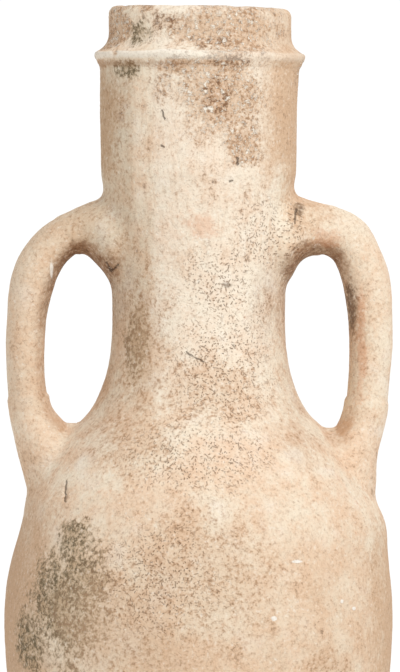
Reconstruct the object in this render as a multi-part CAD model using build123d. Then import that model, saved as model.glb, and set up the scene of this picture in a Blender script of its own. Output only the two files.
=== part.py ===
from build123d import *
import os
from math import sqrt

# A tall two-handled storage jar (amphora) of coarse fired clay, cut back into the
# pieces that a potter throws, pulls and lutes together before firing.
# Frame, in millimetres: +Z is up the jar's axis, and the two handles reach along X.
# The origin is on the axis, in the middle of the straight grip of the solid toe,
# which is where a stand, a rack hole or a bed of sand holds the jar up.

# ---- driving dimensions -------------------------------------------------------
BELLY_R = 160.0            # widest radius of the body
BELLY_Z = 331.0            # height of the widest ring
SHOULDER_RISE = 206.25     # half-height of the ellipse that the shoulder follows
BASE_DROP = 250.0          # half-height of the ellipse that the body follows below
WALL = 12.0                # wall of the body
NECK_WALL = 11.0

PIN_R = 26.0               # straight grip of the toe
PIN_HALF = 20.0
TIP_ROUND = 14.0

WAIST_R, WAIST_Z = 71.3, 574.0     # narrowest ring of the neck
NECK_TOP_R, NECK_TOP_Z = 82.0, 785.5
RIM_R, RIM_TOP = 75.0, 836.0       # upright collar of the mouth
MOUTH_R = 62.5                     # straight seat for a stopper
MOUTH_LOW, MOUTH_HIGH = 797.0, 831.0
LIP_ROUND_OUT, LIP_ROUND_IN = 6.0, 5.0
FLANGE_R, FLANGE_Z = 87.0, 796.0   # sharp ledge under the collar
FLANGE_NOSE = 2.2                  # half the thickness of the ledge's edge
COVE_TOP_Z = 814.0                 # where the hollow above the ledge meets the collar

FLOOR_R, FLOOR_Z = 34.0, 84.0      # flat floor inside the jar, on top of the toe

ELLIPSE_SIN, ELLIPSE_COS = 0.8, 0.6    # the shoulder leaves its ellipse here
BASE_SIN, BASE_COS = 0.6, 0.8          # and so does the base, lower down

# Points (radius, height) that the outline passes between the toe, body and neck.
BASE_OUT, BASE_IN = (59, 80), (56, 103)
NECK_FOOT_OUT, NECK_FOOT_IN = (77.6, 529), (66.8, 525)
NECK_BARREL_OUT, NECK_BARREL_IN = (79.6, 694), (68.6, 694)
BARREL_TOP_IN_Z = MOUTH_LOW - 11       # the bore narrows above here to its straight seat

# Bevelled lap joints between thrown sections, each from a point on the outside of
# the wall up to a point on the inside: (outer r, outer z), (inner r, inner z).
TOE_LAP = ((52.0, 66.0), (FLOOR_R, FLOOR_Z))
BASE_LAP = ((144.5, 224.0), (136.0, 244.0))
BELLY_LAP = ((151.0, 398.0), (135.0, 414.0))
NECK_LAP = ((84.0, 512.0), (66.0, 530.0))
RIM_LAP = ((82.0, 786.0), (65.0, 792.5))

# Handles: centre line in the XZ plane as (distance from the axis, height), from
# inside the neck, out, over and down into the shoulder.
# "thick" and "deep" are the oval's two diameters at evenly spaced places along it.
# "upper" and "lower" are the clay pressed round the two roots, as (part of the way
# along the centre line, extra half-thickness, shift towards the inside of the loop).
HANDLES = {
    "left": {
        "side": -1,
        "line": [(60, 655), (101, 652), (126.5, 632.5), (140, 595), (143, 550), (139, 500), (121, 438)],
        "thick": [38, 34, 36, 32, 30.5, 33, 36],
        "deep": [52, 48, 46, 44, 44, 47, 54],
        "twist": 6,
        "upper": [(0.0, 17, 11), (0.075, 12, 9), (0.13, 4, 3.5), (0.18, 1.4, 0.5)],
        "lower": [(1.0, 10, 12), (0.88, 9, 10), (0.81, 5.5, 5.5), (0.76, 2.2, 1.5), (0.71, 1.4, 0.5)],
    },
    "right": {
        "side": 1,
        "line": [(60, 654), (100, 654.5), (124.5, 643.5), (140.5, 598), (141.8, 550), (136.5, 500),
                 (121.5, 438)],
        "thick": [44, 40, 40, 36, 34.5, 36, 38],
        "deep": [54, 50, 47, 46, 46, 48, 54],
        "twist": 12,
        "upper": [(0.0, 16, 9), (0.07, 11, 7), (0.12, 4, 3), (0.17, 1.4, 0.5)],
        "lower": [(1.0, 8, 7), (0.88, 6, 5), (0.82, 2.5, 1.8), (0.78, 1.6, 0.6), (0.73, 1.4, 0.3)],
    },
}

COIL_R, COIL_HALF = 7.0, 19.0      # coil smeared over the neck joint, inside
COIL_AXIS_R, COIL_Z = 67.0, 524.0
PLUG_RISE = 13.0                   # wad pressed over the toe, inside: height at its middle
PLUG_R, PLUG_EDGE_Z = 62.0, 108.2  # and a ring just outside its thin edge

KNIFE_R, KNIFE_TOP = 260.0, 1000.0     # larger than the jar in every direction
LAP_REACH, TOE_LAP_REACH = 6.0, 8.0    # how far a joint's cut runs on past the wall
SEAM_PLANE = Plane.YZ              # outlines start behind the jar, clear of the handles
OVALS = 13                         # sections that a handle is lofted through


# ---- outlines of the wall, as edges in the plane of (radius, height) -----------
def ellipse_arc(radius, half_height, low_z, high_z):
    """Arc of the upright ellipse round the belly ring's centre."""
    points = []
    for z in (low_z, (low_z + high_z) / 2, high_z):
        points.append((radius * sqrt(1 - ((z - BELLY_Z) / half_height) ** 2), z))
    slopes = []
    for r, z in (points[0], points[-1]):
        slopes.append((-(z - BELLY_Z) * radius**2 / (r * half_height**2), 1))
    return Spline(points, tangents=slopes)


def half_body(radius, rise, drop):
    """Base and shoulder arcs of one skin of the body, and where they start and end."""
    low = (radius * BASE_COS, BELLY_Z - drop * BASE_SIN)
    high = (radius * ELLIPSE_COS, BELLY_Z + rise * ELLIPSE_SIN)
    low_slope = (radius * BASE_SIN / (drop * BASE_COS), 1)
    high_slope = (-radius * ELLIPSE_SIN / (rise * ELLIPSE_COS), 1)
    arcs = [
        ellipse_arc(radius, drop, low[1], BELLY_Z),
        ellipse_arc(radius, rise, BELLY_Z, high[1]),
    ]
    return low, low_slope, high, high_slope, arcs


def outer_edges():
    """Outside of the jar, from the tip of the toe to the middle of the mouth."""
    tip_z = -PIN_HALF - TIP_ROUND
    low, low_slope, high, high_slope, arcs = half_body(BELLY_R, SHOULDER_RISE, BASE_DROP)
    flange_low = (FLANGE_R - 1.0, FLANGE_Z - FLANGE_NOSE)
    flange_high = (FLANGE_R - 1.0, FLANGE_Z + FLANGE_NOSE)
    lip_z = RIM_TOP - LIP_ROUND_OUT
    tip_corner = (PIN_R - TIP_ROUND, tip_z)
    return [
        Line((0, tip_z), tip_corner),
        RadiusArc(tip_corner, (PIN_R, -PIN_HALF), -TIP_ROUND),
        Line((PIN_R, -PIN_HALF), (PIN_R, PIN_HALF)),
        Spline([(PIN_R, PIN_HALF), BASE_OUT, low], tangents=[(0, 1), low_slope]),
        *arcs,
        Spline(
            [high, NECK_FOOT_OUT, (WAIST_R, WAIST_Z), NECK_BARREL_OUT, (NECK_TOP_R, NECK_TOP_Z)],
            tangents=[high_slope, (0.02, 1)],
        ),
        Line((NECK_TOP_R, NECK_TOP_Z), flange_low),
        ThreePointArc(flange_low, (FLANGE_R, FLANGE_Z), flange_high),
        Spline([flange_high, (RIM_R, COVE_TOP_Z)], tangents=[(-1, 0.45), (0, 1)]),
        Line((RIM_R, COVE_TOP_Z), (RIM_R, lip_z)),
        RadiusArc((RIM_R, lip_z), (RIM_R - LIP_ROUND_OUT, RIM_TOP), -LIP_ROUND_OUT),
        Line((RIM_R - LIP_ROUND_OUT, RIM_TOP), (0, RIM_TOP)),
        Line((0, RIM_TOP), (0, tip_z)),
    ]


def inner_edges():
    """Inside of the jar, from its flat floor to the mouth, closed along the axis."""
    low, low_slope, high, high_slope, arcs = half_body(
        BELLY_R - WALL, SHOULDER_RISE - WALL, BASE_DROP - WALL
    )
    neck_in = NECK_TOP_R - NECK_WALL
    waist_in = (WAIST_R - NECK_WALL, WAIST_Z)
    lip_r = MOUTH_R + LIP_ROUND_IN
    return [
        Line((0, FLOOR_Z), (FLOOR_R, FLOOR_Z)),
        Spline([(FLOOR_R, FLOOR_Z), BASE_IN, low], tangents=[(1, 0.5), low_slope]),
        *arcs,
        Spline(
            [high, NECK_FOOT_IN, waist_in, NECK_BARREL_IN, (neck_in, BARREL_TOP_IN_Z)],
            tangents=[high_slope, (0.02, 1)],
        ),
        Spline(
            [(neck_in, BARREL_TOP_IN_Z), (MOUTH_R, MOUTH_LOW)],
            tangents=[(-0.1, 1), (-0.6, 1)],
        ),
        Line((MOUTH_R, MOUTH_LOW), (MOUTH_R, MOUTH_HIGH)),
        RadiusArc((MOUTH_R, MOUTH_HIGH), (lip_r, RIM_TOP), LIP_ROUND_IN),
        Line((lip_r, RIM_TOP), (lip_r, KNIFE_TOP)),
        Line((lip_r, KNIFE_TOP), (0, KNIFE_TOP)),
        Line((0, KNIFE_TOP), (0, FLOOR_Z)),
    ]


def spun(edges):
    """Solid of revolution of a closed outline drawn in (radius, height)."""
    face = make_face([SEAM_PLANE * edge for edge in edges])
    return revolve(face, Axis.Z)


def spun_polygon(points):
    edges = [Line(a, b) for a, b in zip(points, points[1:] + points[:1])]
    return spun(edges)


# ---- the body of the jar, cut at its lap joints ---------------------------------
def above(lap):
    """Everything above a bevelled lap joint, out to well past the jar."""
    (out_r, out_z), (in_r, in_z) = lap
    rise = (in_z - out_z) / (out_r - in_r)
    outer = (out_r + LAP_REACH, out_z - rise * LAP_REACH)
    inner = (in_r - LAP_REACH, in_z + rise * LAP_REACH)
    return spun_polygon(
        [(0, inner[1]), inner, outer, (KNIFE_R, outer[1]), (KNIFE_R, KNIFE_TOP), (0, KNIFE_TOP)]
    )


def above_toe(lap):
    """As above(), but flat across the floor, so that the toe keeps its solid top."""
    (out_r, out_z), (in_r, in_z) = lap
    rise = (in_z - out_z) / (out_r - in_r)
    outer = (out_r + TOE_LAP_REACH, out_z - rise * TOE_LAP_REACH)
    return spun_polygon(
        [(0, in_z), (in_r, in_z), outer, (KNIFE_R, outer[1]), (KNIFE_R, KNIFE_TOP), (0, KNIFE_TOP)]
    )


def sections(outside, cavity):
    wall = outside - cavity
    cuts = [above_toe(TOE_LAP)] + [above(lap) for lap in (BASE_LAP, BELLY_LAP, NECK_LAP, RIM_LAP)]
    names = ["toe", "lower_body", "belly", "shoulder", "neck", "rim_collar"]
    pieces = {}
    for index, name in enumerate(names):
        piece = wall
        if index > 0:
            piece = piece & cuts[index - 1]
        if index < len(cuts):
            piece = piece - cuts[index]
        pieces[name] = piece
    return pieces


def neck_coil(cavity):
    """Coil smeared over the inside of the neck joint."""
    ring = SEAM_PLANE * Pos(COIL_AXIS_R, COIL_Z) * Ellipse(COIL_R, COIL_HALF)
    return revolve(ring, Axis.Z) & cavity


def toe_plug(cavity):
    """Shallow lens of clay pressed over the top of the toe, inside."""
    top = FLOOR_Z + PLUG_RISE
    lens = spun(
        [
            Line((0, 0), (KNIFE_R, 0)),
            Line((KNIFE_R, 0), (KNIFE_R, BELLY_Z / 2)),
            Line((KNIFE_R, BELLY_Z / 2), (PLUG_R, PLUG_EDGE_Z)),
            Spline([(PLUG_R, PLUG_EDGE_Z), (0, top)], tangents=[(-1, -0.4), (-1, 0)]),
            Line((0, top), (0, 0)),
        ]
    )
    return cavity & lens


# ---- handles and the clay luted round their roots ---------------------------------
def handle_path(handle):
    return Spline([(handle["side"] * r, 0, z) for r, z in handle["line"]])


def between(values, part):
    """Value at a part (0 to 1) of the way along a list of evenly spaced values."""
    place = part * (len(values) - 1)
    index = min(int(place), len(values) - 2)
    return values[index] + (values[index + 1] - values[index]) * (place - index)


def oval(handle, path, part, extra=0.0, shift=0.0):
    """Oval section of a handle, square to its centre line, shifted into the loop."""
    depth = between(handle["deep"], part) / 2 + extra
    thick = between(handle["thick"], part) / 2 + extra
    twist = handle["twist"] * min(1.0, 4 * part, 4 * (1 - part))
    along = path % part
    inward = along.cross(Vector(0, -1, 0)) * handle["side"]
    plane = Plane(origin=path @ part + inward * shift, x_dir=(0, 1, 0), z_dir=along)
    return plane.rotated((0, 0, twist)) * Ellipse(depth, thick)


def handle_pieces(name, handle, outside):
    path = handle_path(handle)
    bar = loft([oval(handle, path, index / (OVALS - 1)) for index in range(OVALS)])
    pieces = {f"handle_{name}": bar - outside}
    for end in ("upper", "lower"):
        clay = loft([oval(handle, path, *station) for station in handle[end]])
        pieces[f"{end}_wad_{name}"] = clay - outside - bar
    return pieces


def main():
    outside, cavity = spun(outer_edges()), spun(inner_edges())
    parts = sections(outside, cavity)
    parts["neck_coil"] = neck_coil(cavity)
    parts["toe_plug"] = toe_plug(cavity)
    for name, handle in HANDLES.items():
        parts.update(handle_pieces(name, handle, outside))
    os.makedirs("parts", exist_ok=True)
    for name, solid in parts.items():
        solid.label = name
        export_step(solid, f"parts/{name}.step")
        size = solid.bounding_box().size
        print(f"{name}: {solid.volume / 1000:.0f} cm3, {len(solid.solids())} solid,"
              f" {size.X:.0f} x {size.Y:.0f} x {size.Z:.0f} mm")


main()
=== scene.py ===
# %% [markdown]
# # A coarse-clay amphora
# This is a tall two-handled storage jar, thrown in sections, luted together and
# fired. The real one is worn: the ledge under its mouth is chipped, chopped straw
# has burnt out of the clay and left short dark slots all over it, and soil, lime
# and lichen have stained it. The measured model supplies every size and joint.
# This script grows one weathered clay skin over it, cuts that skin back into the
# potter's pieces, and paints them.

# %% The measured model
import math

import bmesh
import bpy
import numpy as np
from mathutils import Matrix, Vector
from mathutils.bvhtree import BVHTree


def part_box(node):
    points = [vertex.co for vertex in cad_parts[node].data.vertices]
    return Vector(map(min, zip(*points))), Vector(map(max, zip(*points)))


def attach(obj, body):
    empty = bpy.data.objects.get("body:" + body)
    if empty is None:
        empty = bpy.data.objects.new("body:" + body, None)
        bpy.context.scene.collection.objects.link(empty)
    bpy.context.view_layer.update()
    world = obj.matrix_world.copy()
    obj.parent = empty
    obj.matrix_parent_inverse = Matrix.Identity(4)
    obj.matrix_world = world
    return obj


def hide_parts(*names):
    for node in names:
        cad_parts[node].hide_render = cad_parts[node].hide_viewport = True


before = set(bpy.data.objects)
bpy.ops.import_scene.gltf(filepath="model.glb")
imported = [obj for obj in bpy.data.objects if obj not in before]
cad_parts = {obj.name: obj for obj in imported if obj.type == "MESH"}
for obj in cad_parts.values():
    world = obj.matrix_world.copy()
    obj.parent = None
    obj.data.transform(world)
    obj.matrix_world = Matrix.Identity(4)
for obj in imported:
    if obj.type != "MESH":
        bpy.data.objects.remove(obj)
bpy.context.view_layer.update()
MM = 0.001

SECTIONS = ["toe", "lower_body", "belly", "shoulder", "neck", "rim_collar"]
SIDES = {"left": -1, "right": 1}
FRONT = Vector((0, -1, 0))

TIP_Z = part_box("toe")[0].z
FLOOR_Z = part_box("toe")[1].z
LIP_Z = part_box("rim_collar")[1].z
LEDGE_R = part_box("rim_collar")[1].x
BELLY_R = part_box("belly")[1].x
print(f"jar {LIP_Z - TIP_Z:.3f} m tall, {2 * BELLY_R:.3f} m across")

# %% [markdown]
# ## Camera
# The camera comes first, because it says which details matter. It looks level at
# the jar through a very long lens from far off, so that the sides stay upright. The
# view is cut just below the widest ring, and the ledge under the mouth, which is
# well above eye level, is seen slightly from below.

# %% Camera
VIEW_HEIGHT = 554.4 * MM       # height of the view at the jar's axis
ABOVE_LIP = 6.5 * MM           # room over the lip
CAMERA_RIGHT = 1.2 * MM
CAMERA_AWAY = 9.0
SENSOR = 36.0                  # the lens is in millimetres too
CLIP_END = 100.0

eye_z = LIP_Z + ABOVE_LIP - VIEW_HEIGHT / 2
camera = bpy.data.objects.new("camera", bpy.data.cameras.new("camera"))
bpy.context.scene.collection.objects.link(camera)
camera.data.sensor_width = SENSOR
camera.data.lens = SENSOR * CAMERA_AWAY / VIEW_HEIGHT
camera.data.clip_end = CLIP_END
camera.location = (CAMERA_RIGHT, -CAMERA_AWAY, eye_z)
camera.rotation_euler = (math.pi / 2, 0, 0)
bpy.context.scene.camera = camera
print(f"lens {camera.data.lens:.0f} mm, eye level at {eye_z:.3f} m")

# %% [markdown]
# ## Reading the wall
# A thrown pot is a surface of revolution, so its shape is one curve. Rays sent at
# the measured model between the handles give that curve back: from in front they
# meet the outer skin, and from the axis they meet the inner one.

# %% Outline of the wall
def tree_of(names):
    """One ray-casting tree for several nodes of the measured model."""
    points, faces = [], []
    for name in names:
        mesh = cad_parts[name].data
        start = len(points)
        points += [v.co.copy() for v in mesh.vertices]
        faces += [[start + i for i in p.vertices] for p in mesh.polygons]
    return BVHTree.FromPolygons(points, faces)


wall_tree = tree_of(SECTIONS)


def outer_radius(z):
    far = 2 * BELLY_R
    return far - wall_tree.ray_cast(Vector((0, -far, z)), -FRONT)[3]


def inner_radius(z):
    return wall_tree.ray_cast(Vector((0, 0, z)), FRONT)[3]


def heights(low, high, coarse, fine, near_low, near_high):
    """Heights from low to high, closer together near the two ends."""
    return np.concatenate([
        np.arange(low, low + near_low, fine),
        np.arange(low + near_low, high - near_high, coarse),
        np.arange(high - near_high, high, fine),
        [high],
    ])


HAIR = 0.02 * MM               # keeps a ray or a corner just off an edge or the axis
COLLAR = 55 * MM               # the mouth's collar and ledge need the finer steps
outer_z = heights(TIP_Z + HAIR, LIP_Z - HAIR, 2 * MM, 0.5 * MM, 20 * MM, COLLAR)
inner_z = heights(FLOOR_Z + HAIR, LIP_Z - HAIR, 2.5 * MM, 0.5 * MM, 4 * MM, COLLAR)
outer_r = np.array([outer_radius(z) for z in outer_z])
inner_r = np.array([inner_radius(z) for z in inner_z])
print(len(outer_z), "rings outside,", len(inner_z), "rings inside")


def wall_out(z):
    return float(np.interp(z, outer_z, outer_r))


def wall_in(z):
    return float(np.interp(z, inner_z, inner_r))


# %% [markdown]
# ## One skin
# Separate solids would meet in hard lines, where the potter smeared everything
# together. So the jar and its handles are first fused: the outline is spun into a
# solid, the measured handles and their luting clay are joined on, with a pinch of
# clay in the crook at the foot of each, and a voxel remesh grows one even skin over
# all of them.

# %% Small mesh helpers
def add_object(name, mesh):
    obj = bpy.data.objects.new(name, mesh)
    bpy.context.scene.collection.objects.link(obj)
    return obj


def discard(obj):
    mesh = obj.data
    bpy.data.objects.remove(obj)
    bpy.data.meshes.remove(mesh)


def settled(obj):
    """Replace an object's mesh with what its modifiers make of it."""
    graph = bpy.context.evaluated_depsgraph_get()
    mesh = bpy.data.meshes.new_from_object(obj.evaluated_get(graph))
    old, obj.data = obj.data, mesh
    obj.modifiers.clear()
    bpy.data.meshes.remove(old)
    return obj


def lathe(name, line, columns, swell=None):
    """Closed solid spun from a line of (radius, height); swell(turn, z) adds to the radius."""
    turn = np.linspace(0, 2 * math.pi, columns, endpoint=False)
    radius = np.array([p[0] for p in line])[:, None] + np.zeros(columns)
    height = np.array([p[1] for p in line])[:, None] + np.zeros(columns)
    if swell:
        radius = radius + swell(turn[None, :], height)
    rings = np.stack([radius * np.cos(turn), radius * np.sin(turn), height], axis=-1)
    ring_points = rings.reshape(-1, 3)
    count = len(ring_points)
    points = ring_points.tolist() + [(0, 0, line[0][1]), (0, 0, line[-1][1])]
    here = np.arange(columns)
    after = (here + 1) % columns
    faces = []
    for row in range(len(line) - 1):
        low, high = row * columns, (row + 1) * columns
        faces += np.stack([low + here, low + after, high + after, high + here], axis=1).tolist()
    last = (len(line) - 1) * columns
    faces += [(count, b, a) for a, b in zip(here.tolist(), after.tolist())]
    faces += [(count + 1, last + a, last + b) for a, b in zip(here.tolist(), after.tolist())]
    mesh = bpy.data.meshes.new(name)
    mesh.from_pydata(points, [], faces)
    return add_object(name, mesh)


def merged_copy(name, nodes, inset=0.0):
    """A welded copy of some nodes, shrunk by inset along its normals."""
    form = bmesh.new()
    for source in nodes:
        form.from_mesh(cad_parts[source].data)
    bmesh.ops.remove_doubles(form, verts=form.verts, dist=0.01 * MM)
    if inset:
        form.normal_update()
        for vert in form.verts:
            vert.co -= vert.normal * inset
    mesh = bpy.data.meshes.new(name)
    form.to_mesh(mesh)
    form.free()
    return add_object(name, mesh)


def fused(obj, others, voxel):
    """Join other objects into obj and grow one even skin over the lot."""
    form = bmesh.new()
    for part in [obj] + others:
        form.from_mesh(part.data)
    form.to_mesh(obj.data)
    form.free()
    for part in others:
        discard(part)
    remesh = obj.modifiers.new("skin", "REMESH")
    remesh.mode = "VOXEL"
    remesh.voxel_size = voxel
    return settled(obj)


def coords(mesh, attribute="vertices", key="co"):
    """All the points of a mesh, or another list of its vectors, one to a row."""
    data = np.empty(len(getattr(mesh, attribute)) * 3)
    getattr(mesh, attribute).foreach_get(key, data)
    return data.reshape(-1, 3)


def pinch(name, centre, size):
    """A small egg of soft clay, with its centre and half sizes in millimetres."""
    form = bmesh.new()
    bmesh.ops.create_icosphere(form, subdivisions=3, radius=1.0)
    for vert in form.verts:
        vert.co = Vector(centre) * MM + vert.co * Vector(size) * MM
    mesh = bpy.data.meshes.new(name)
    form.to_mesh(mesh)
    form.free()
    return add_object(name, mesh)


# %% Fuse the jar and its handles
VOXEL = 1.75 * MM
CROOK_SIZE = (9, 12, 8)
CROOKS = {"left": (-105, 0, 486), "right": (107, 0, 482)}

handle_nodes = [f"{part}_{side}" for side in SIDES for part in ("handle", "upper_wad", "lower_wad")]
skin = lathe("skin", list(zip(outer_r, outer_z)), columns=360)
handles = [merged_copy(name, [name]) for name in handle_nodes]
crooks = [pinch(f"crook_{side}", centre, CROOK_SIZE) for side, centre in CROOKS.items()]
fused(skin, handles + crooks, VOXEL)
print("skin:", len(skin.data.vertices), "points")

# %% [markdown]
# ## Smeared roots
# A real handle flows into the wall, because its clay was thumbed down while it was
# wet. The skin is relaxed only along that junction: a point is free to move when it
# is close to the wall and to the handle at once, and fixed elsewhere.

# %% Relax the roots
REACH = 12.5 * MM
ROUNDS = 60
STEP = 0.6                     # how far a point goes towards its neighbours in a round
ROOTS_LOW, ROOTS_HIGH = 0.40, 0.72
ROOTS_DEEP = 70 * MM           # from the plane of the handles, to front and back

points = coords(skin.data)
off_wall = np.abs(np.hypot(points[:, 0], points[:, 1]) - np.interp(points[:, 2], outer_z, outer_r))
beside = (off_wall < REACH) & (np.abs(points[:, 1]) < ROOTS_DEEP)
level = (points[:, 2] > ROOTS_LOW) & (points[:, 2] < ROOTS_HIGH)
handle_tree = tree_of(handle_nodes)
off_handle = np.full(len(points), 1.0)
for i in np.where(beside & level)[0].tolist():
    found = handle_tree.find_nearest(Vector(points[i]), REACH)
    if found[3] is not None:
        off_handle[i] = found[3]
freedom = np.clip(1 - np.maximum(off_wall, off_handle) / REACH, 0, 1)
freedom = freedom * freedom * (3 - 2 * freedom)

edges = np.empty(len(skin.data.edges) * 2, dtype=np.int64)
skin.data.edges.foreach_get("vertices", edges)
edges = edges.reshape(-1, 2)
edges = edges[(freedom[edges] > 0).any(axis=1)]
ends = np.concatenate([edges[:, 0], edges[:, 1]])
others = np.concatenate([edges[:, 1], edges[:, 0]])
degree = np.maximum(np.bincount(ends, minlength=len(points)), 1)
for _ in range(ROUNDS):
    total = np.stack([np.bincount(ends, points[others, axis], len(points)) for axis in range(3)], axis=1)
    points += STEP * freedom[:, None] * (total / degree[:, None] - points)
skin.data.vertices.foreach_set("co", points.ravel())
skin.data.update()
print("relaxed", int((freedom > 0).sum()), "points round the handle roots")

# %% [markdown]
# ## Node trees as sums
# Both the weathering of the shape and the finish of the clay are node trees. A
# small class wraps a socket, so that ordinary Python sums add the Math nodes. Every
# other node comes from one function: its settings go in first, then its sockets.

# %% A socket that can be used in sums
def pick(sockets, key):
    """A socket by index, identifier or name."""
    if isinstance(key, int):
        return sockets[key]
    exact = [s for s in sockets if s.identifier == key]
    return exact[0] if exact else next(s for s in sockets if s.name == key and s.enabled)


def node(tree, kind, settings=None, inputs=None, output=0):
    """Add a node, set it up, feed it, and return the chosen output as a Wire."""
    made = tree.nodes.new(kind)
    for key, value in (settings or {}).items():
        setattr(made, key, value)
    for key, value in (inputs or {}).items():
        socket = pick(made.inputs, key)
        if isinstance(value, Wire):
            tree.links.new(value.socket, socket)
        else:
            socket.default_value = value
    return Wire(tree, pick(made.outputs, output)) if len(made.outputs) else None


class Wire:
    """One output socket, ready for sums."""

    def __init__(self, tree, socket):
        self.tree, self.socket = tree, socket

    def math(self, operation, *values):
        return node(self.tree, "ShaderNodeMath", {"operation": operation}, dict(enumerate(values)))

    def __add__(self, other):
        return self.math("ADD", self, other)

    def __radd__(self, other):
        return self.math("ADD", other, self)

    def __sub__(self, other):
        return self.math("SUBTRACT", self, other)

    def __rsub__(self, other):
        return self.math("SUBTRACT", other, self)

    def __mul__(self, other):
        return self.math("MULTIPLY", self, other)

    def __rmul__(self, other):
        return self.math("MULTIPLY", other, self)

    def __truediv__(self, other):
        return self.math("DIVIDE", self, other)

    def most(self, other):
        return self.math("MAXIMUM", self, other)

    def least(self, other):
        return self.math("MINIMUM", self, other)

    def size(self):
        return self.math("ABSOLUTE", self)

    def sine(self):
        return self.math("SINE", self)

    def ramp(self, low, high, start=0.0, end=1.0):
        """Smooth step from start at low to end at high; low may be the larger."""
        return node(self.tree, "ShaderNodeMapRange", {"interpolation_type": "SMOOTHSTEP"},
                    {"Value": self, "From Min": low, "From Max": high, "To Min": start, "To Max": end})


def vector(tree, operation, first, second=None, output="Vector", scale=None):
    inputs = {0: first}
    if second is not None:
        inputs[1] = second
    if scale is not None:
        inputs["Scale"] = scale
    return node(tree, "ShaderNodeVectorMath", {"operation": operation}, inputs, output)


def noise(tree, where, size, detail=2.0, rough=0.5, warp=0.0, output=0):
    """Noise whose lumps are about size metres across."""
    inputs = {"Vector": where, "Scale": 1 / size, "Detail": detail, "Roughness": rough, "Distortion": warp}
    return node(tree, "ShaderNodeTexNoise", {"noise_dimensions": "3D"}, inputs, output)


# %% [markdown]
# ## Weathered shape
# The wall isn't true: it wobbles by a millimetre, faint rings follow the potter's
# fingers up the collar and neck, and grains have dropped out of the surface. These
# follow rules, so a Geometry Nodes tree makes them. It pushes each point along its
# normal, and its sizes are inputs, so the same tree can serve the rougher luting
# clay inside.

# %% The weathering tree
WEAR_INPUTS = {
    "Wobble": 0.9 * MM, "Lumps": 0.5 * MM, "Rings": 0.25 * MM,
    "Pits": 0.9 * MM, "Grain": 0.22 * MM, "Seed": 3.0,
}
RING_PITCH = 4.2 * MM


def weathering_tree():
    tree = bpy.data.node_groups.new("weathering", "GeometryNodeTree")
    tree.interface.new_socket("Geometry", in_out="INPUT", socket_type="NodeSocketGeometry")
    for name in WEAR_INPUTS:
        tree.interface.new_socket(name, in_out="INPUT", socket_type="NodeSocketFloat")
    tree.interface.new_socket("Finish", in_out="INPUT", socket_type="NodeSocketMaterial")
    tree.interface.new_socket("Geometry", in_out="OUTPUT", socket_type="NodeSocketGeometry")
    source = tree.nodes.new("NodeGroupInput")
    given = {s.name: Wire(tree, s) for s in source.outputs if s.name}

    place = node(tree, "GeometryNodeInputPosition")
    seed = given["Seed"]
    shift = node(tree, "ShaderNodeCombineXYZ", {}, {0: seed, 1: seed * 1.7, 2: seed * 0.6})
    where = vector(tree, "ADD", place, shift)
    height = node(tree, "ShaderNodeSeparateXYZ", {}, {0: place}, "Z")

    wobble = (noise(tree, where, 90 * MM, 1.0) - 0.5) * 2 * given["Wobble"]
    lumps = (noise(tree, where, 16 * MM, 3.0) - 0.5) * 2 * given["Lumps"]
    drift = noise(tree, where, 40 * MM, 1.0) * 5
    rings = (height * (2 * math.pi / RING_PITCH) + drift).sine() * given["Rings"]
    rings = rings * noise(tree, where, 30 * MM, 1.0).ramp(0.4, 0.7) * height.ramp(0.60, 0.82)
    pits = noise(tree, where, 5.5 * MM, 2.0, 0.6).ramp(0.60, 0.74) * given["Pits"]
    worn = noise(tree, where, 45 * MM, 2.0).ramp(0.45, 0.62)
    grain = (noise(tree, where, 2.6 * MM, 2.0, 0.7) - 0.5) * 2 * given["Grain"]
    push = wobble + lumps + rings + grain - pits * worn

    normal = node(tree, "GeometryNodeInputNormal")
    moved = node(tree, "GeometryNodeSetPosition", {},
                 {"Geometry": given["Geometry"], "Offset": vector(tree, "SCALE", normal, scale=push)})
    whole = node(tree, "GeometryNodeRealizeInstances", {}, {"Geometry": moved})
    coated = node(tree, "GeometryNodeSetMaterial", {}, {"Geometry": whole, "Material": given["Finish"]})
    sink = tree.nodes.new("NodeGroupOutput")
    tree.links.new(coated.socket, sink.inputs[0])
    return tree


weathering = weathering_tree()
weathered_clay = bpy.data.materials.new("weathered_clay")
inner_clay = bpy.data.materials.new("inner_clay")


def weather(obj, finish, **sizes):
    """Run the weathering tree on an object and keep the result."""
    modifier = obj.modifiers.new("weathering", "NODES")
    modifier.node_group = weathering
    slots = {s.name: s.identifier for s in weathering.interface.items_tree if s.in_out == "INPUT"}
    for name, value in {**WEAR_INPUTS, **sizes}.items():
        modifier[slots[name]] = value
    modifier[slots["Finish"]] = finish
    return settled(obj)


weather(skin, weathered_clay)
print("weathered skin spans", np.ptp(coords(skin.data), axis=0).round(4).tolist())

# %% [markdown]
# ## Knocks, chips and gouges
# Some damage is in one place only: a chip out of the ledge, a gouge in the
# shoulder, a dented lip. Each is a soft hollow with a centre on the front of the
# jar, a width and height, and a depth.

# %% Hollows
STRAP_FRONT = -24 * MM         # the front of the handles


def front_y(x, z):
    """Where the front surface is: on the wall, or beside it on a handle."""
    radius = wall_out(z)
    return -math.sqrt(radius * radius - x * x) if abs(x) < radius * 0.985 else STRAP_FRONT


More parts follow.
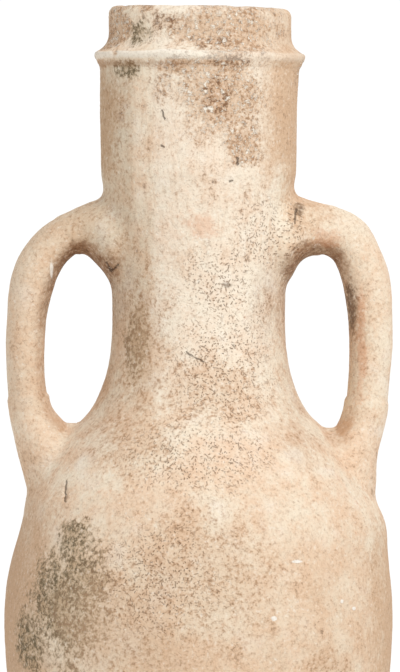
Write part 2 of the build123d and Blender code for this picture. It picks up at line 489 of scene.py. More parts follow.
HOLLOWS = [
    # x, z, half width, half height, depth: all in millimetres
    (-71, 796, 5, 4, 2.6),
    (6, 797, 11, 3, 1.6),
    (40, 795, 8, 2.5, 1.0),
    (63, 796, 5, 2.5, 1.1),
    (-40, 799, 12, 3, 0.6),
    (-62, 836, 6, 3, 1.4),
    (-20, 836, 12, 2, 0.7),
    (30, 836, 9, 2, 0.8),
    (70, 834, 5, 4, 1.2),
    (-108.5, 437, 2.2, 12, 2.4),
    (32, 708, 2.0, 4.5, 1.4),
    (26.5, 691.5, 2.6, 1.8, 1.2),
    (51.6, 700.6, 3.2, 2.6, 1.2),
    (-18.6, 715.5, 2, 2, 1.3),
    (-31, 720.5, 2.6, 1.8, 0.9),
    (-70, 620, 3.5, 6, 1.6),
    (80, 668, 2.4, 12, 1.3),
    (86, 655, 4, 5, 1.0),
    (108, 486, 6, 4, 0.8),
    (-73, 677, 3, 6, 1.0),
]

points = coords(skin.data)
normals = coords(skin.data, "vertex_normals", "vector")
for x, z, wide, tall, deep in HOLLOWS:
    x, z, wide, tall, deep = x * MM, z * MM, wide * MM, tall * MM, deep * MM
    centre = np.array([x, front_y(x, min(z, LIP_Z - HAIR)), z])
    away = np.linalg.norm((points - centre) / (wide, 2 * max(wide, tall), tall), axis=1)
    fall = np.clip(1 - away, 0, 1)
    points -= normals * (deep * fall * fall * (3 - 2 * fall))[:, None]
skin.data.vertices.foreach_set("co", points.ravel())
skin.data.update()
print(len(HOLLOWS), "hollows pressed in")

# %% [markdown]
# ## Back to the potter's pieces
# The jar was thrown in sections that overlap in bevelled joints. The fused skin is
# cut back into those sections with solids spun from the measured joints, and a
# cavity with the potter's finger ridges is taken out of it. Adjoining pieces are
# cut by the same cone, so no gap can show.

# %% Boolean helpers
def combine(obj, tool, operation):
    """Cut, intersect or join with another closed solid, and keep the result."""
    modifier = obj.modifiers.new("cut", "BOOLEAN")
    modifier.operation = operation
    modifier.solver = "MANIFOLD"
    modifier.object = tool
    return settled(obj)


def twin(obj, name):
    """A second object with its own copy of the mesh."""
    return add_object(name, obj.data.copy())


def box_solid(name, low, high):
    """A closed box between two corners."""
    form = bmesh.new()
    bmesh.ops.create_cube(form, size=1.0)
    for vert in form.verts:
        vert.co = Vector([(a + b) / 2 + c * (b - a) for a, b, c in zip(low, high, vert.co)])
    mesh = bpy.data.meshes.new(name)
    form.to_mesh(mesh)
    form.free()
    return add_object(name, mesh)


def largest(obj):
    """Drop every loose scrap but the largest."""
    form = bmesh.new()
    form.from_mesh(obj.data)
    form.verts.ensure_lookup_table()
    seen, groups = set(), []
    for start in form.verts:
        if start.index in seen:
            continue
        stack, group = [start], []
        seen.add(start.index)
        while stack:
            vert = stack.pop()
            group.append(vert)
            for edge in vert.link_edges:
                other = edge.other_vert(vert)
                if other.index not in seen:
                    seen.add(other.index)
                    stack.append(other)
        groups.append(group)
    groups.sort(key=len)
    bmesh.ops.delete(form, geom=[v for group in groups[:-1] for v in group], context="VERTS")
    form.to_mesh(obj.data)
    form.free()
    return obj


# %% Cavity and joint solids
RIDGE_PITCH = 11 * MM
RIDGE = 0.7 * MM
RIDGES_TOP = 0.78              # the fingers stopped here
RIDGE_FADE = 20 * MM
CLEAR = 2.2 * MM               # how far the wall's own relief may stand out
PAST = 5 * MM                  # how far a cutting solid runs past the jar's ends
SPACE_COLUMNS = 240


def finger_ridges(turn, z):
    """One slow spiral of finger ridges, which stops short of the mouth."""
    start = np.clip((z - FLOOR_Z - 25 * MM) / RIDGE_FADE, 0, 1)
    stop = np.clip((RIDGES_TOP - z) / RIDGE_FADE, 0, 1)
    return RIDGE * start * stop * np.sin(2 * math.pi * z / RIDGE_PITCH + turn)


open_mouth = [(inner_r[-1], LIP_Z + 8 * MM)]
cavity = lathe("cavity", list(zip(inner_r, inner_z)) + open_mouth, columns=200, swell=finger_ridges)


def joint(lower, upper):
    """The bevelled joint between two sections: its inner and outer edge."""
    high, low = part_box(lower)[1].z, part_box(upper)[0].z
    return (wall_in(high), high), (wall_out(low), low)


def section_solid(index):
    """The space that belongs to one section, from its lower joint to its upper one."""
    name = SECTIONS[index]
    low, high = TIP_Z - PAST, LIP_Z + PAST
    bottom, top = [(HAIR, low)], [(HAIR, high)]
    if index > 0:
        inner, outer = joint(SECTIONS[index - 1], name)
        bottom, low = [(HAIR, inner[1]), inner], outer[1]
    if index < len(SECTIONS) - 1:
        inner, outer = joint(name, SECTIONS[index + 1])
        top, high = [inner, (HAIR, inner[1])], outer[1]
    between = [z for z in outer_z if low + HAIR < z < high - HAIR]
    side = [(wall_out(z) + CLEAR, z) for z in [low] + between + [high]]
    return lathe(name + "_space", bottom + side + top, SPACE_COLUMNS)


# %% Cut the sections
wall = combine(twin(skin, "wall"), cavity, "DIFFERENCE")
pieces = {}
for index, name in enumerate(SECTIONS):
    space = section_solid(index)
    pieces[name] = largest(combine(twin(wall, "clay_" + name), space, "INTERSECT"))
    discard(space)
    print(name, len(pieces[name].data.polygons), "faces")

# %% [markdown]
# ## Handles and luting clay
# What is left of the skin outside the wall is the two handles. Each was pulled as
# a strap, set against the wet wall, and bedded in a wad of soft clay at both ends.
# The wad is a sleeve round the strap, so the strap, shrunk a little, is cut out of it.

# %% Cut the handles
SLEEVE = 1.8 * MM              # how much thinner the strap is where clay sleeves it
CORE_VOXEL = 1.5 * MM
TAIL = 25 * MM                 # how far the lower wad runs down past its strap
ROOM = Vector((3, 5, 3)) * MM  # smeared clay round each wad
HALF_LOW = (20 * MM, -0.1, 0.38)
HALF_HIGH = (0.25, 0.1, 0.72)

around_jar = [(wall_out(z) + CLEAR, z) for z in outer_z]
jar_space = lathe("jar_space", [(HAIR, TIP_Z - PAST)] + around_jar + [(HAIR, LIP_Z + PAST)], SPACE_COLUMNS)
straps = combine(twin(skin, "straps"), jar_space, "DIFFERENCE")


def cut_wad(whole, handle, core, level, side):
    """Take one wad out of a whole handle, and its place out of the strap."""
    name = f"{level}_wad_{side}"
    low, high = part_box(name)
    below = Vector((0, 0, TAIL if level == "lower" else 0))
    zone = box_solid("zone", low - ROOM - below, high + ROOM)
    combine(zone, core, "DIFFERENCE")
    pieces[name] = largest(combine(twin(whole, "clay_" + name), zone, "INTERSECT"))
    combine(handle, zone, "DIFFERENCE")
    discard(zone)


for side, sign in SIDES.items():
    across = sorted((sign * HALF_LOW[0], sign * HALF_HIGH[0]))
    half = box_solid("half", (across[0], *HALF_LOW[1:]), (across[1], *HALF_HIGH[1:]))
    whole = largest(combine(twin(straps, "whole"), half, "INTERSECT"))
    core = fused(merged_copy("core", [f"handle_{side}"], SLEEVE), [], CORE_VOXEL)
    handle = twin(whole, f"clay_handle_{side}")
    for level in ("upper", "lower"):
        cut_wad(whole, handle, core, level, side)
    pieces[f"handle_{side}"] = largest(handle)
    for spare in (half, core, whole):
        discard(spare)
for name in handle_nodes:
    print(name, len(pieces[name].data.polygons), "faces")
for spare in (skin, wall, straps, cavity, jar_space):
    discard(spare)

# %% [markdown]
# ## Clay worked in from inside
# Two lumps can only be seen from the mouth: a coil pressed into the neck joint and
# a plug pressed over the floor of the toe. They were left as the fingers left them,
# so the same weathering tree runs on them with deeper lumps, shallower pits and no
# rings.

# %% Coil and plug
INSIDE = ("neck_coil", "toe_plug")
LUMP_VOXEL = 1.4 * MM
for name in INSIDE:
    lump = fused(merged_copy("clay_" + name, [name]), [], LUMP_VOXEL)
    pieces[name] = weather(lump, inner_clay, Lumps=1.6 * MM, Rings=0.0, Pits=0.4 * MM, Seed=11.0)
    print(name, len(lump.data.polygons), "faces")

# %% [markdown]
# ## Out of true
# The whole jar leans and sags a little. The mouth sits down to the right, and the
# shoulder swells further on the right than on the left. Each push is a soft shove
# at one place of the side view, and every piece gets the same shoves, so the joints
# still meet.

# %% Pushes
PUSHES = [
    # x, z, reach across, reach up, shove across: all in millimetres
    (152, 416, 60, 27, 7.0),
    (152, 466, 30, 22, -1.8),
    (-150, 430, 50, 10, -2.4),
    (-158, 402, 60, 26, 1.8),
    (142, 636, 22, 18, -3.6),
    (-86, 628, 12, 14, -2.8),
    (88, 628, 12, 14, -3.6),
    (118, 502, 14, 24, 1.9),
    (94, 676, 16, 6, -3.0),
]
MOUTH_SHIFT = 1.2 * MM
MOUTH_TILT = 0.019
MOUTH_LOW, MOUTH_HIGH = 0.74, 0.80     # the neck takes up the lean between these
LEDGE_Z = 0.797
LEDGE_WAVE = 1.3 * MM
WAVES = [(3, 0.6, 1.0), (7, 2.0, 0.7), (12, 0.0, 0.5)]     # waves round, start, share


def out_of_true(points):
    """The points with every shove, the wavy ledge and the leaning mouth."""
    moved = points.copy()
    for x, z, across, up, shove in PUSHES:
        near_x = np.exp(-(((points[:, 0] / MM - x) / across) ** 2))
        near_z = np.exp(-(((points[:, 2] / MM - z) / up) ** 2))
        moved[:, 0] += shove * MM * near_x * near_z
    turn = np.arctan2(points[:, 1], points[:, 0])
    ledge = np.exp(-(((points[:, 2] - LEDGE_Z) / (7 * MM)) ** 2))
    wave = sum(share * np.sin(count * turn + start) for count, start, share in WAVES)
    moved[:, 2] += LEDGE_WAVE * ledge * wave / sum(share for _, _, share in WAVES)
    lift = np.clip((points[:, 2] - MOUTH_LOW) / (MOUTH_HIGH - MOUTH_LOW), 0, 1)
    lift = lift * lift * (3 - 2 * lift)
    moved[:, 0] += MOUTH_SHIFT * lift
    moved[:, 2] -= MOUTH_TILT * points[:, 0] * lift
    return moved


SHARP = math.radians(48)
for name, piece in pieces.items():
    mesh = piece.data
    mesh.vertices.foreach_set("co", out_of_true(coords(mesh)).ravel())
    mesh.update()
    mesh.shade_smooth()
    mesh.set_sharp_from_angle(angle=SHARP)
print(len(pieces), "pieces settled")

# %% [markdown]
# ## Fired, buried and washed
# The clay's own colour isn't paint. It is a cream slip over a peach body, with soil in the
# hollows, brown crust near the mouth, a grey-green lichen patch, and short dark
# slots where straw burnt out. Painted shade darkens the flanks, the arches of the handles,
# the inner side of the right handle and the corner under the ledge, and a painted highlight
# runs along the ledge's edge. Each of these is a mask, and each mask moves the
# colour, the height of the bump, or both.

# %% Colours
def tint(red, green, blue):
    """A colour as the eye names it, 0 to 255, made linear for the shader."""
    return tuple(((c / 255 + 0.055) / 1.055) ** 2.4 for c in (red, green, blue)) + (1.0,)


CREAM = tint(244, 229, 206)
PALE = tint(252, 243, 228)
PEACH = tint(238, 206, 176)
TAN = tint(214, 179, 146)
BROWN = tint(162, 120, 86)
UMBER = tint(122, 88, 62)
OLIVE = tint(176, 150, 116)
LICHEN = tint(112, 100, 76)
SOOT = tint(84, 66, 52)
RUST = tint(226, 164, 124)
CHALK = tint(254, 250, 242)
BUFF = tint(205, 165, 130)


def blend(tree, arch_shade, over, factor):
    return node(tree, "ShaderNodeMix", {"data_type": "RGBA"},
                {"Factor_Float": factor, "A_Color": arch_shade, "B_Color": over}, "Result_Color")


# %% [markdown]
# ## The surface that the stains and painted shade share
# Every stain, and every patch of painted shade or highlight, has a place and a torn edge. Its
# place comes from Object coordinates, and its edge from noises of a few sizes. One object keeps
# these, with the colour laid so far and the relief that the bump will read. Each is then a
# short function that lays colours on the clay and may lift or sink its surface.

# %% The clay surface
class Clay:
    """Places, noises and directions on the clay, with its colour and relief so far."""

    def __init__(self, tree):
        self.tree = tree
        self.where = node(tree, "ShaderNodeTexCoord", {}, {}, "Object")
        self.normal = node(tree, "ShaderNodeTexCoord", {}, {}, "Normal")
        self.x, self.y, self.z = [
            node(tree, "ShaderNodeSeparateXYZ", {}, {0: self.where}, axis) for axis in "XYZ"
        ]
        level = vector(tree, "MULTIPLY", self.where, (1.0, 1.0, 0.0))
        self.radius = vector(tree, "LENGTH", level, output="Value")
        self.radial = vector(tree, "NORMALIZE", level)
        self.front = self.y.ramp(15 * MM, -15 * MM)
        self.strap = (self.x.size().ramp(84 * MM, 94 * MM)
                      * self.z.ramp(0.49, 0.51) * self.z.ramp(0.70, 0.69))

        self.broad = self.noise(70 * MM, 3.0, 0.55)
        self.middle = self.noise(24 * MM, 5.0, 0.62)
        self.fine = self.noise(7 * MM, 4.0, 0.68)
        self.grit = self.noise(3.0 * MM, 3.0, 0.75)
        self.sand = self.noise(3.6 * MM, 3.0, 0.8, 0.4)
        self.torn = (self.middle - 0.5) * 1.5 + (self.fine - 0.5) * 1.2 + (self.grit - 0.5) * 0.5

        self.colour = CREAM
        self.relief = (self.fine - 0.5) * 0.8 + (self.grit - 0.5) * 0.8 + (self.sand - 0.5) * 0.5

    def noise(self, size, detail=2.0, rough=0.5, warp=0.0):
        return noise(self.tree, self.where, size, detail, rough, warp)

    def lay(self, colour, factor):
        """Blend a colour over what is there."""
        self.colour = blend(self.tree, self.colour, colour, factor)

    def lift(self, height):
        """Add to the relief."""
        self.relief = self.relief + height

    def spot(self, x, z, wide, tall, y=None):
        """A soft blob, 1 at its centre and 0 at its rim, in millimetres."""
        centre = (x * MM, front_y(x * MM, z * MM) if y is None else y * MM, z * MM)
        scale = (1 / (wide * MM), 1 / (max(wide, tall) * MM), 1 / (tall * MM))
        away = vector(self.tree, "SUBTRACT", self.where, centre)
        away = vector(self.tree, "MULTIPLY", away, scale)
        return vector(self.tree, "LENGTH", away, output="Value").ramp(1.0, 0.1)

    def spots(self, places):
        """The strongest of several blobs."""
        total = self.spot(*places[0])
        for place in places[1:]:
            total = total.most(self.spot(*place))
        return total


# %% [markdown]
# ## Slip and bare clay
# The potter dipped the jar in a thin cream slip. It has worn through to the peach
# clay in soft patches, rain has washed the middle of the neck pale, and soil has
# tinted the lower body.

# %% Slip
def slip(clay):
    x, z = clay.x, clay.z
    clay.lay(PEACH, (clay.broad * 0.5 + clay.middle * 0.6 + clay.fine * 0.4).ramp(0.58, 0.92))
    clay.lay(TAN, (clay.noise(36 * MM, 5.0, 0.68) + (clay.grit - 0.5) * 0.4).ramp(0.52, 0.80) * 0.55)
    clay.lay(PALE, (clay.noise(28 * MM, 5.0, 0.65) + (clay.sand - 0.5) * 0.4).ramp(0.52, 0.74) * 0.65)
    clay.lay(RUST, (clay.fine * 0.7 + clay.sand * 0.6).ramp(0.74, 0.92) * 0.60)
    clay.lay(PALE, z.ramp(0.44, 0.60) * 0.35 * x.ramp(-0.045, -0.03) * x.ramp(0.075, 0.05))
    drawn_out = vector(clay.tree, "MULTIPLY", clay.where, (1.0, 1.0, 0.12))
    streaks = noise(clay.tree, drawn_out, 4 * MM, 2.0, 0.6).ramp(0.5, 0.72)
    clay.lay(TAN, streaks * z.ramp(0.58, 0.64) * 0.30)
    clay.lay(TAN, z.ramp(0.47, 0.36) * (0.30 + (clay.broad - 0.5) * 0.8).most(0.0))


# %% [markdown]
# ## Soil and painted shade on the flanks
# Soil tints the sides of the body, and painted shade darkens the flanks, the lower left edge
# and the right edge of the neck. Two olive bands with torn edges darken the left of the neck,
# the lower one running further in beside the loop.

# %% Soil
# Where soil and painted shade darken the flanks of the body and the edges of the neck.
SOIL_AND_SHADE_FLANKS = [
    # x, z, half width, half height, y: all in millimetres
    (-162, 335, 104, 190, -30),
    (162, 340, 50, 130, -20),
    (86, 740, 50, 130, -30),
    (-78, 740, 24, 80, -20),
]


def left_of(clay, edge, rough):
    """The front of the jar to the left of an edge, given in millimetres."""
    return ((clay.x - edge * MM) / (5 * MM) + clay.torn * rough).ramp(0.8, -0.8) * clay.front


def soil_and_flank_shade(clay):
    x, z = clay.x, clay.z
    # painted shade with soil on the flanks, painted shade on the lower left edge and the right edge of the
    # neck, and a tan tint on the handles, more on the left
    clay.lay(TAN, (clay.spots(SOIL_AND_SHADE_FLANKS) * 0.9 + clay.torn * 0.8).ramp(0.0, 0.85) * 0.88)
    clay.lay(BROWN, x.ramp(-0.112, -0.156) * z.ramp(0.46, 0.42) * 0.14)
    clay.lay(TAN, clay.strap * x.ramp(0.02, -0.02, 0.10, 0.34))
    clay.lay(TAN, x.ramp(0.030, 0.062) * z.ramp(0.69, 0.72) * 0.34)
    upper = left_of(clay, -54, 0.9) * z.ramp(0.62, 0.68) * z.ramp(0.80, 0.785)
    lower = left_of(clay, -38, 1.2) * z.ramp(0.47, 0.53) * z.ramp(0.70, 0.63) * x.size().ramp(0.12, 0.085)
    clay.lay(OLIVE, upper * 0.30)
    clay.lay(OLIVE, lower * 0.24)
    flecks = (clay.grit * 0.6 + clay.fine * 0.6).ramp(0.58, 0.78)
    clay.lay(BROWN, (upper + lower).least(1.0) * flecks * 0.38)


# %% [markdown]
# ## Brown crust
# Round the mouth and on the right of the neck there is a brown crust with white
# grains in it. The grains stand up a little.

# %% Crust
CRUST = [(18, 765, 64, 60), (25, 815, 92, 34), (-66, 818, 34, 26), (0, 786, 70, 16), (36, 722, 30, 30)]
CRUST_CORE = [(14, 762, 24, 26), (8, 806, 30, 12), (-30, 822, 20, 12), (20, 790, 40, 8)]


def crust(clay):
    all_round = clay.noise(55 * MM).ramp(0.46, 0.62) * clay.z.ramp(0.72, 0.80)
    crusted = (clay.spots(CRUST).most(all_round * 0.75) + clay.torn * 0.8).ramp(0.18, 0.75)
    core = (clay.spots(CRUST_CORE) + clay.torn * 0.9).ramp(0.3, 0.8)
    grains = crusted * (clay.sand * 0.9 + clay.fine * 0.35).ramp(0.655, 0.745)
    clay.lay(TAN, crusted * 0.76)
    clay.lay(BUFF, core * 0.45)
    clay.lay(BROWN, crusted * (clay.grit * 0.8 + clay.middle * 0.4).ramp(0.57, 0.72) * 0.70)
    clay.lay(UMBER, core * (clay.grit * 0.6 + clay.fine * 0.6).ramp(0.54, 0.70) * 0.75)
    clay.lay(PALE, grains * 0.92)
    clay.lift(grains * 0.5)


# %% [markdown]
# ## Lichen and dirt
# Grey-green lichen has grown on the left of the body and in a few damp places
# behind, and fine brown dirt sits in the pores of the belly and the shoulder.

# %% Lichen
LICHEN_PATCHES = [
    (-106, 350, 66, 96), (-98, 340, 36, 46), (-102, 398, 38, 34), (-138, 318, 36, 50),
    (-48, 814, 22, 20), (-60, 784, 36, 14), (-50, 560, 18, 60),
]
DIRT_PATCHES = [
    (1, 372, 100, 96), (-60, 330, 100, 80), (-50, 480, 60, 60),
    (-40, 560, 30, 90), (108, 292, 50, 30), (10, 520, 80, 50),
]


def lichen(clay):
    damp = clay.noise(110 * MM).ramp(0.52, 0.66) * (1 - clay.front) * clay.z.ramp(0.50, 0.40)
    grown = (clay.spots(LICHEN_PATCHES).most(damp * 0.74) + clay.torn).ramp(0.30, 0.95)
    clay.lay(OLIVE, grown * 0.62)
    clay.lay(LICHEN, grown * (clay.grit * 0.8 + clay.fine * 0.55).ramp(0.60, 0.78) * 0.95)
    clay.lay(CREAM, grown * (clay.sand * 0.9 + clay.fine * 0.35).ramp(0.70, 0.80) * 0.6)


def dirt(clay):
    dirty = (clay.spots(DIRT_PATCHES) + clay.torn * 0.8).ramp(0.1, 0.95)
    clay.lay(BROWN, dirty * (clay.grit * 0.8 + clay.fine * 0.55).ramp(0.66, 0.84) * 0.70)
    clay.lay(TAN, dirty * 0.42)


# %% [markdown]
# ## Painted shade under the arches
# The undersides of the handles and the faces round each loop are darkened with painted shade,
# browner higher up and flecked with umber. A point is in this shade when it lies near one of
# the two loops and faces its middle.

# %% Arches
LOOPS = [(-97, 562), (99, 562)]          # the middle of each loop, x and z
LOOP_SIZE = (66, 115)                    # half its width and height, with the inner faces


def arch_shade_mask(clay):
    tree, x = clay.tree, clay.x
    total = None
    for loop_x, loop_z in LOOPS:
        middle = (loop_x * MM, 0.0, loop_z * MM)
        inward = vector(tree, "MULTIPLY", vector(tree, "SUBTRACT", middle, clay.where), (1.0, 0.0, 1.0))
        facing = vector(tree, "DOT_PRODUCT", vector(tree, "NORMALIZE", inward), clay.normal, "Value")
        shrink = (1 / (LOOP_SIZE[0] * MM), 0.0, 1 / (LOOP_SIZE[1] * MM))
        near = vector(tree, "LENGTH", vector(tree, "MULTIPLY", inward, shrink), output="Value")
        mask = facing.ramp(0.35, 0.80) * near.ramp(1.0, 0.85) * x.size().ramp(0.060, 0.080, 0.45, 1.0)
        total = mask if total is None else total.most(mask)
    return total


def painted_arch_shade(clay):
    # painted shade: brown and umber where the clay faces into a loop
    arch_shade, high = arch_shade_mask(clay), clay.z.ramp(0.55, 0.63)
    clay.lay(BROWN, arch_shade * (0.22 + high * 0.55 + clay.torn * 0.35).most(0.0).least(0.85))
    clay.lay(UMBER, arch_shade * high * (clay.grit * 0.7 + clay.fine * 0.6).ramp(0.5, 0.8) * 0.8)


# %% [markdown]
# ## Single marks
# A few marks are in one place each: sooty smears, painted shade down the inner side of the
# right handle, warm patches where the clay flushed in the kiln, and lime splashes that stand up
# from the wall.

# %% Marks
# the first spot is painted shade on the inner side of the right handle, the others are soot smears
SOOT_AND_SHADE_SPOTS = [(125, 592, 11, 46, -12), (24, 607, 12, 5), (-72, 624, 7, 12), (83, 668, 11, 16)]
FLUSHES = [(106, 646, 26, 18, -22), (134, 560, 7, 80, -20), (-69, 657, 16, 20), (0, 655, 30, 24)]
SPLASHES = [
    (61.5, 336, 4, 3.4), (117, 349, 4, 3.4), (127, 343, 4.4, 2.6),
    (80, 382, 8, 2.4), (-121, 619, 3, 16, -20),
]


def marks(clay):
    soot_and_shade = (clay.spots(SOOT_AND_SHADE_SPOTS) + clay.torn * 0.9).ramp(0.45, 1.0)
    # soot, and painted shade on the right handle's inner side
    clay.lay(SOOT, (soot_and_shade + (clay.grit - 0.5) * 1.2) * 0.55)
    clay.lay(RUST, (clay.spots(FLUSHES) + clay.torn * 0.9).ramp(0.3, 1.0) * 0.36)
    limed = (clay.spots(SPLASHES) + clay.torn * 0.9).ramp(0.35, 0.8)
    clay.lay(CHALK, limed * 0.8)
    clay.lift(limed * 0.3)


# %% [markdown]
# ## The ledge
# A painted highlight and wear make the edge of the ledge pale, more on its left, and painted
# shadow darkens the corner underneath, more on its right. Fine turning lines ring the collar above it.

# %% Ledge
TURNING_PITCH = 2.7 * MM


def ledge(clay):
    x, z = clay.x, clay.z
    # painted highlight and wear along the edge of the ledge
    edge = clay.radius.ramp(LEDGE_R - 4.5 * MM, LEDGE_R - 1.5 * MM)
    edge = edge * z.ramp(0.787, 0.793) * z.ramp(0.815, 0.805)
    # painted shadow in the corner under the ledge
    painted_ledge_shadow = clay.radius.ramp(LEDGE_R - 2 * MM, LEDGE_R - 5 * MM)
    painted_ledge_shadow = painted_ledge_shadow * z.ramp(0.781, 0.791) * z.ramp(0.800, 0.794)
    clay.lay(PALE, (edge + clay.torn * 0.5).ramp(0.4, 1.0) * x.ramp(0.03, -0.02, 0.25, 0.75))
    clay.lay(BROWN, (painted_ledge_shadow + clay.torn * 0.6).ramp(0.2, 0.9) * x.ramp(-0.03, 0.02, 0.45, 0.80))
    turning = (z * (2 * math.pi / TURNING_PITCH) + clay.broad * 9).sine()
    clay.lift(turning * z.ramp(0.805, 0.815) * clay.middle.ramp(0.42, 0.6) * 0.12)


# %% [markdown]
# ## Burnt-out straw
# Chopped straw kept the wet clay from slumping, and left a slot wherever it burnt
# out. A Voronoi texture gives each cell one straw: its colour is read as a random
# heading, laid along the surface, and the cell's point is the middle of the slot.

# %% Straw slots
CROWDED = [(22, 535, 76, 100), (-30, 372, 100, 76), (0, 470, 100, 56), (60, 650, 60, 50), (20, 606, 54, 60)]
SINK = 0.85                    # how much of a straw's depth under the surface is ignored


def straws(clay, flat, cell, length, width, share):
    """Short slots in random directions along the surface, at most one to a cell."""
    tree = clay.tree
    fields = {name: node(tree, "ShaderNodeTexVoronoi", {}, {"Vector": clay.where, "Scale": 1 / cell}, name)
              for name in ("Color", "Position")}
    off = vector(tree, "SUBTRACT", clay.where, fields["Position"])
    depth = vector(tree, "DOT_PRODUCT", off, flat, "Value") * SINK
    off = vector(tree, "SUBTRACT", off, vector(tree, "SCALE", flat, scale=depth))
    heading = vector(tree, "SUBTRACT", fields["Color"], (0.5, 0.5, 0.5))
    heading = vector(tree, "NORMALIZE", vector(tree, "CROSS_PRODUCT", heading, flat))
    along = vector(tree, "DOT_PRODUCT", off, heading, "Value")
    aside = vector(tree, "SUBTRACT", off, vector(tree, "SCALE", heading, scale=along))
    across = vector(tree, "LENGTH", aside, output="Value")
    chance = node(tree, "ShaderNodeSeparateColor", {}, {0: fields["Color"]}, "Green")
    slot = across.ramp(width, width * 0.3) * along.size().ramp(length, length * 0.5)
    return slot * chance.ramp(0.95 - share, 1.05 - share)


def straw_slots(clay):
    facing = {"Factor_Float": clay.strap, "A_Vector": clay.radial, "B_Vector": (0.0, 1.0, 0.0)}
    flat = node(clay.tree, "ShaderNodeMix", {"data_type": "VECTOR"}, facing, "Result_Vector")
    long_slots = straws(clay, flat, 6.0 * MM, 2.4 * MM, 0.62 * MM, 0.45)
    short_slots = straws(clay, flat, 3.7 * MM, 1.15 * MM, 0.58 * MM, 0.60)
    specks = straws(clay, flat, 2.9 * MM, 0.6 * MM, 0.62 * MM, 0.40)
    slots = (long_slots * 0.85).most(short_slots * 0.9).most(specks * 0.7)
    crowd = (clay.spots(CROWDED) * 0.82 + (clay.middle - 0.5) * 1.6).ramp(0.05, 0.85)
    cut = slots * (0.20 + crowd * 0.80)
    clay.lay(blend(clay.tree, BROWN, UMBER, clay.noise(9 * MM, 1.0).ramp(0.42, 0.62)), cut * 0.68)
    clay.lift(cut * -1.1)


# %% [markdown]
# ## Cracks
# Short cracks and scratches run between two points each. Their path is shaken by a
# noise, so that none is straight.

# %% Cracks
CRACKS = [
    # x and z of one end, then of the other, in millimetres
    (-108, 446, -109, 430), (-10, 552, 4, 544), (-30, 750, -27, 743),
    (-66, 624, -72, 618), (-72, 618, -76, 626), (80, 670, 79, 658),
    (32, 711, 32, 706), (25, 691, 28, 692), (-31, 721, -28, 720),
]
CRACK_WIDTH = 1.0 * MM
CRACK_SHAKE = 4 * MM


def near_line(tree, where, x0, z0, x1, z1):
    """1 on a thin line between two points of the front view, 0 beside it."""
    run = ((x1 - x0) * MM, 0.0, (z1 - z0) * MM)
    off = vector(tree, "SUBTRACT", where, (x0 * MM, 0.0, z0 * MM))
    part = vector(tree, "DOT_PRODUCT", off, run, "Value") / (run[0] ** 2 + run[2] ** 2)
    gap = vector(tree, "SUBTRACT", off, vector(tree, "SCALE", run, scale=part.most(0.0).least(1.0)))
    return vector(tree, "LENGTH", gap, output="Value").ramp(CRACK_WIDTH, CRACK_WIDTH * 0.25)


def cracks(clay):
    tree = clay.tree
    jitter = noise(tree, clay.where, 6 * MM, output="Color")
    jitter = vector(tree, "SCALE", vector(tree, "SUBTRACT", jitter, (0.5, 0.5, 0.5)), scale=CRACK_SHAKE)
    shaken = vector(tree, "MULTIPLY", vector(tree, "ADD", clay.where, jitter), (1.0, 0.0, 1.0))
    split = near_line(tree, shaken, *CRACKS[0])
    for line in CRACKS[1:]:
        split = split.most(near_line(tree, shaken, *line))
    split = split * clay.front * clay.sand.ramp(0.30, 0.52)
    clay.lay(SOOT, split * 0.70)
    clay.lift(split * -1.4)


# %% [markdown]
# ## Inside, and the grain over everything
# The inner face never had slip, so it is bare buff clay wherever the surface faces
# the axis. Last comes the grain of the coarse clay, dark and light.

# %% Inside and grain
def bare_inside(clay):
    facing = vector(clay.tree, "DOT_PRODUCT", clay.normal, clay.radial, "Value").ramp(-0.2, -0.5)
    inside = facing * clay.radius.ramp(0.150, 0.146) * (1 - clay.strap)
    clay.lay(BUFF, inside * clay.z.ramp(0.835, 0.80) * 0.7)


def grain(clay):
    mixed = clay.sand * 0.6 + clay.grit * 0.6
    clay.lay(BROWN, mixed.ramp(0.64, 0.80) * 0.40)
    clay.lay(CHALK, mixed.ramp(0.55, 0.42) * 0.34)


# %% [markdown]
# ## The two finishes
# The weathered clay takes every stain in the order in which it came to the jar, and the painted shade and
# highlight with them.
# The lumps inside were never slipped or weathered, so they are plain buff clay with
# the potter's finger marks.

# %% Paint
def emptied(material):
    material.use_nodes = True
    material.node_tree.nodes.clear()
    return material.node_tree


def fired(tree, colour, roughness, gloss, relief, depth, strength):
    """Close a clay material: a dull shader over a bump of the given depth."""
    bump = node(tree, "ShaderNodeBump", {}, {"Height": relief, "Distance": depth, "Strength": strength})
    shader = node(tree, "ShaderNodeBsdfPrincipled", {},
                  {"Base Color": colour, "Roughness": roughness, "Specular IOR Level": gloss, "Normal": bump})
    node(tree, "ShaderNodeOutputMaterial", {}, {"Surface": shader})


STAINS_AND_SHADE = [slip, soil_and_flank_shade, crust, lichen, dirt, painted_arch_shade, marks, ledge, straw_slots, cracks, bare_inside, grain]


def paint_weathered(material):
    clay = Clay(emptied(material))
    for stain in STAINS_AND_SHADE:
        stain(clay)
    fired(clay.tree, clay.colour, clay.middle * 0.15 + 0.82, 0.2, clay.relief, 1.1 * MM, 0.85)


def paint_inner(material):
    tree = emptied(material)
    where = node(tree, "ShaderNodeTexCoord", {}, {}, "Object")
    middle = noise(tree, where, 14 * MM, 4.0, 0.6)
    grit = noise(tree, where, 1.8 * MM, 3.0, 0.7)
    colour = blend(tree, BUFF, PEACH, middle.ramp(0.35, 0.7))
    colour = blend(tree, colour, BROWN, grit.ramp(0.58, 0.75) * 0.5)
    fired(tree, colour, grit * 0.1 + 0.85, 0.25, middle * 0.6 + grit * 0.5, 0.8 * MM, 0.7)


paint_weathered(weathered_clay)
paint_inner(inner_clay)
print(len(STAINS_AND_SHADE), "stains make", len(weathered_clay.node_tree.nodes), "nodes")

# %% [markdown]
# ## Hand the pieces over
# Each visual piece stands for one node of the measured model, moves with its only
# body, and takes the inner finish if it is a lump worked in from inside, the weathered one otherwise.

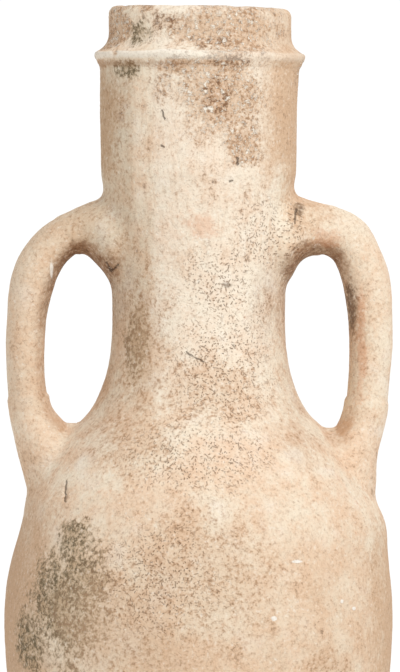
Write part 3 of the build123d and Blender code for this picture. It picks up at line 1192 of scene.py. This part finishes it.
# %% Replace the plain solids
for name, piece in pieces.items():
    slot, finish = ("inner_clay", inner_clay) if name in INSIDE else ("weathered_clay", weathered_clay)
    piece.data.materials.clear()
    piece.data.materials.append(finish)
    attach(piece, "root")
    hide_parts(name)

# %% [markdown]
# ## Studio
# The jar is held upright with its toe on a pale round floor. The light is broad and
# soft: a white room all round, a large window high in front to the right, a weak
# fill on the left and another lamp behind, so no shadow has a hard edge.

# %% Floor
FLOOR_R = 6.0
FLOOR_THICK = 8 * MM
FLOOR_EDGE = 3 * MM
floor_line = [(FLOOR_R, TIP_Z - FLOOR_THICK), (FLOOR_R, TIP_Z - FLOOR_EDGE), (FLOOR_R - FLOOR_EDGE, TIP_Z)]
floor = lathe("floor", floor_line, columns=96)
paper = bpy.data.materials.new("pale_floor")
paper.use_nodes = True
paper_shader = paper.node_tree.nodes["Principled BSDF"]
paper_shader.inputs["Base Color"].default_value = tint(236, 235, 232)
paper_shader.inputs["Roughness"].default_value = 0.9
floor.data.materials.append(paper)

# %% Lights
def area_light(name, place, target, width, power):
    """A round lamp aimed at a target and hidden from the camera."""
    light = bpy.data.lights.new(name, "AREA")
    light.shape, light.size, light.energy = "DISK", width, power
    lamp = bpy.data.objects.new(name, light)
    bpy.context.scene.collection.objects.link(lamp)
    lamp.location = place
    lamp.rotation_euler = (Vector(target) - Vector(place)).to_track_quat("-Z", "Y").to_euler()
    lamp.visible_camera = False


MIDDLE = (0, 0, 0.5)
HANDLES = (0, 0, 0.62)
ROOM_SEEN, ROOM_LIT = 1.04, 0.63       # how bright the room looks, and how much it lights
area_light("window", (1.4, -2.2, 2.7), HANDLES, 1.6, 56)
area_light("fill", (-2.4, -1.2, 1.2), MIDDLE, 2.0, 6)
area_light("back", (0.6, 2.6, 2.2), MIDDLE, 2.0, 22)

world = bpy.data.worlds.new("white_room")
bpy.context.scene.world = world
world.use_nodes = True
world.node_tree.nodes.clear()
seen = node(world.node_tree, "ShaderNodeLightPath", {}, {}, "Is Camera Ray")
brightness = seen * (ROOM_SEEN - ROOM_LIT) + ROOM_LIT
glow = node(world.node_tree, "ShaderNodeBackground", {}, {"Color": (1, 1, 1, 1), "Strength": brightness})
node(world.node_tree, "ShaderNodeOutputWorld", {}, {"Surface": glow})
bpy.context.scene.view_settings.view_transform = "Standard"
